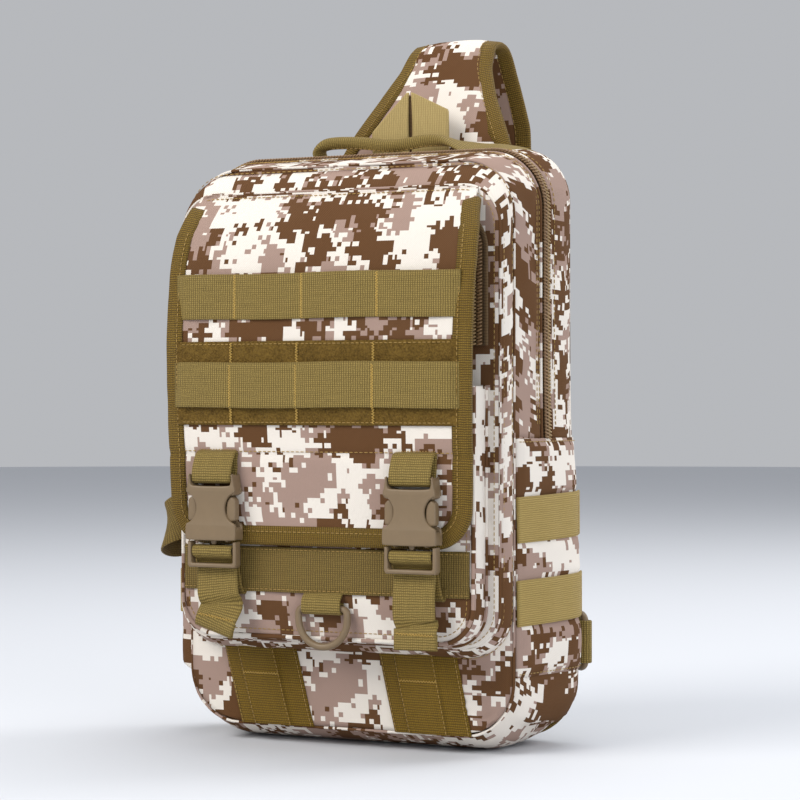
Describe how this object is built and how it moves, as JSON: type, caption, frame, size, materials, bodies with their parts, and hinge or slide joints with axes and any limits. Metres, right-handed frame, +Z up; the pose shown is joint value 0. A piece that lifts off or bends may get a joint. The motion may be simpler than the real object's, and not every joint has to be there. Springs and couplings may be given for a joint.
{
  "type": "sling bag",
  "caption": "Upright one-strap bag with a buckled webbing-covered flap pocket, zipped organiser and main compartments, grab handle, hang loop and padded sling strap.",
  "frame": {"origin": "centre of the flat base", "axes": "+Z up; the flap, pocket and buckles face -Y; +X is to the viewer's right when facing the front"},
  "size_m": [0.2423, 0.188, 0.3988],
  "materials": {
    "camo_canvas": "digital desert camouflage canvas with a light weave",
    "webbing": "khaki ribbed webbing",
    "binding": "khaki ribbed edge binding",
    "loop_pile": "fuzzy dark khaki loop pile",
    "buckle_plastic": "moulded taupe acetal, satin",
    "zipper_tape": "dark brown zipper tape",
    "zipper_coil": "brown nylon coil",
    "slider_metal": "bronze painted slider",
    "back_mesh": "khaki spacer mesh over foam",
    "lining": "brown nylon lining"
  },
  "bodies": {
    "bag": {"front_panel": "camo_canvas", "back_panel": "camo_canvas", "lower_gusset": "camo_canvas", "upper_gusset_front": "camo_canvas", "upper_gusset_rear": "camo_canvas", "base_board": "lining", "inner_sleeve": "lining", "front_piping": "camo_canvas", "rear_binding": "binding", "back_pad": "back_mesh", "main_zipper_tape": "zipper_tape", "main_zipper_coil": "zipper_coil", "organiser_gusset": "camo_canvas", "organiser_front": "camo_canvas", "organiser_piping": "camo_canvas", "organiser_zipper_tape": "zipper_tape", "organiser_zipper_coil": "zipper_coil", "flap_bridge": "camo_canvas", "pocket_gusset": "camo_canvas", "pocket_front": "camo_canvas", "pocket_piping": "camo_canvas", "pocket_band": "webbing", "d_ring_tab": "webbing", "anchor_straps": "webbing", "lower_webbing": "webbing", "side_panel_right": "camo_canvas", "side_pocket_left": "camo_canvas", "side_webbing_right": "webbing", "side_webbing_left": "webbing", "side_loop_left": "webbing", "rear_tabs": "webbing", "strap_anchor": "webbing", "sling_webbing": "webbing"},
    "main_slider": {"main_zipper_slider": "slider_metal"},
    "main_pull": {"main_zipper_pull": "webbing"},
    "organiser_slider": {"organiser_zipper_slider": "slider_metal"},
    "organiser_pull": {"organiser_zipper_pull": "webbing"},
    "d_ring": {"d_ring": "buckle_plastic"},
    "flap": {"flap_panel": "camo_canvas", "flap_binding": "binding", "loop_field": "loop_pile", "molle_row_upper": "webbing", "molle_row_lower": "webbing", "buckle_loops": "webbing", "buckle_female_left": "buckle_plastic", "buckle_female_right": "buckle_plastic"},
    "buckle_left": {"buckle_male_left": "buckle_plastic", "strap_tail_left": "webbing"},
    "buckle_right": {"buckle_male_right": "buckle_plastic", "strap_tail_right": "webbing"},
    "prong_left_outer": {"buckle_prong_left_outer": "buckle_plastic"},
    "prong_left_inner": {"buckle_prong_left_inner": "buckle_plastic"},
    "prong_right_inner": {"buckle_prong_right_inner": "buckle_plastic"},
    "prong_right_outer": {"buckle_prong_right_outer": "buckle_plastic"},
    "handle": {"grab_handle": "webbing"},
    "hang_loop": {"hang_loop": "webbing"},
    "sling_strap": {"sling_strap_pad": "camo_canvas", "sling_strap_binding": "binding"},
    "adjuster": {"strap_adjuster": "buckle_plastic"},
    "lower_ring": {"strap_lower_ring": "buckle_plastic"}
  },
  "joints": [
    {"name": "flap_hinge", "type": "hinge", "parent": "bag", "child": "flap", "pos_m": [0, -0.071, 0.304], "axis": [-1, 0, 0], "range_deg": [0, 160], "deforming": ["buckle_prong_left_outer", "buckle_prong_left_inner", "buckle_prong_right_inner", "buckle_prong_right_outer"]},
    {"name": "buckle_left_release", "type": "slide", "parent": "bag", "child": "buckle_left", "axis": [0, 0, -1], "range_m": [0, 0.028]},
    {"name": "buckle_right_release", "type": "slide", "parent": "bag", "child": "buckle_right", "axis": [0, 0, -1], "range_m": [0, 0.028]},
    {"name": "squeeze_left_outer", "type": "hinge", "parent": "buckle_left", "child": "prong_left_outer", "pos_m": [-0.0709, -0.0775, 0.1154], "axis": [0, 1, 0], "range_deg": [0, 7], "stiffness_Nm_per_rad": 0.02},
    {"name": "squeeze_left_inner", "type": "hinge", "parent": "buckle_left", "child": "prong_left_inner", "pos_m": [-0.0511, -0.0775, 0.1154], "axis": [0, -1, 0], "range_deg": [0, 7], "stiffness_Nm_per_rad": 0.02},
    {"name": "squeeze_right_inner", "type": "hinge", "parent": "buckle_right", "child": "prong_right_inner", "pos_m": [0.0511, -0.0775, 0.1154], "axis": [0, 1, 0], "range_deg": [0, 7], "stiffness_Nm_per_rad": 0.02},
    {"name": "squeeze_right_outer", "type": "hinge", "parent": "buckle_right", "child": "prong_right_outer", "pos_m": [0.0709, -0.0775, 0.1154], "axis": [0, -1, 0], "range_deg": [0, 7], "stiffness_Nm_per_rad": 0.02},
    {"name": "main_slider_run", "type": "slide", "parent": "bag", "child": "main_slider", "axis": [0, 0, 1], "range_m": [0, 0.085]},
    {"name": "main_pull_swing", "type": "hinge", "parent": "main_slider", "child": "main_pull", "pos_m": [-0.10565, 0, 0.1972], "axis": [0, 1, 0], "range_deg": [0, 105]},
    {"name": "organiser_slider_run", "type": "slide", "parent": "bag", "child": "organiser_slider", "axis": [0, 0, 1], "range_m": [0, 0.045]},
    {"name": "organiser_pull_swing", "type": "hinge", "parent": "organiser_slider", "child": "organiser_pull", "pos_m": [-0.0875, -0.05405, 0.2292], "axis": [-1, 0, 0], "range_deg": [0, 60]},
    {"name": "d_ring_swing", "type": "hinge", "parent": "bag", "child": "d_ring", "pos_m": [0.002, -0.0678, 0.0795], "axis": [-1, 0, 0], "range_deg": [0, 150]},
    {"name": "handle_swing", "type": "hinge", "parent": "bag", "child": "handle", "pos_m": [0.008, 0.02, 0.3312], "axis": [1, 0, 0], "range_deg": [0, 55]},
    {"name": "hang_loop_swing", "type": "hinge", "parent": "bag", "child": "hang_loop", "pos_m": [0.005, 0.0305, 0.3312], "axis": [1, 0, 0], "range_deg": [-10, 12]},
    {"name": "strap_swing", "type": "hinge", "parent": "bag", "child": "sling_strap", "pos_m": [0.02, 0.041, 0.331], "axis": [1, 0, 0], "range_deg": [0, 12], "deforming": ["sling_webbing"]},
    {"name": "adjuster_slide", "type": "slide", "parent": "sling_strap", "child": "adjuster", "axis": [0.5671, -0.2537, -0.7836], "range_m": [0, 0.06]},
    {"name": "lower_ring_swing", "type": "hinge", "parent": "bag", "child": "lower_ring", "pos_m": [0.111, 0.041, 0.057], "axis": [0, 0, 1], "range_deg": [-8, 8]}
  ]
}
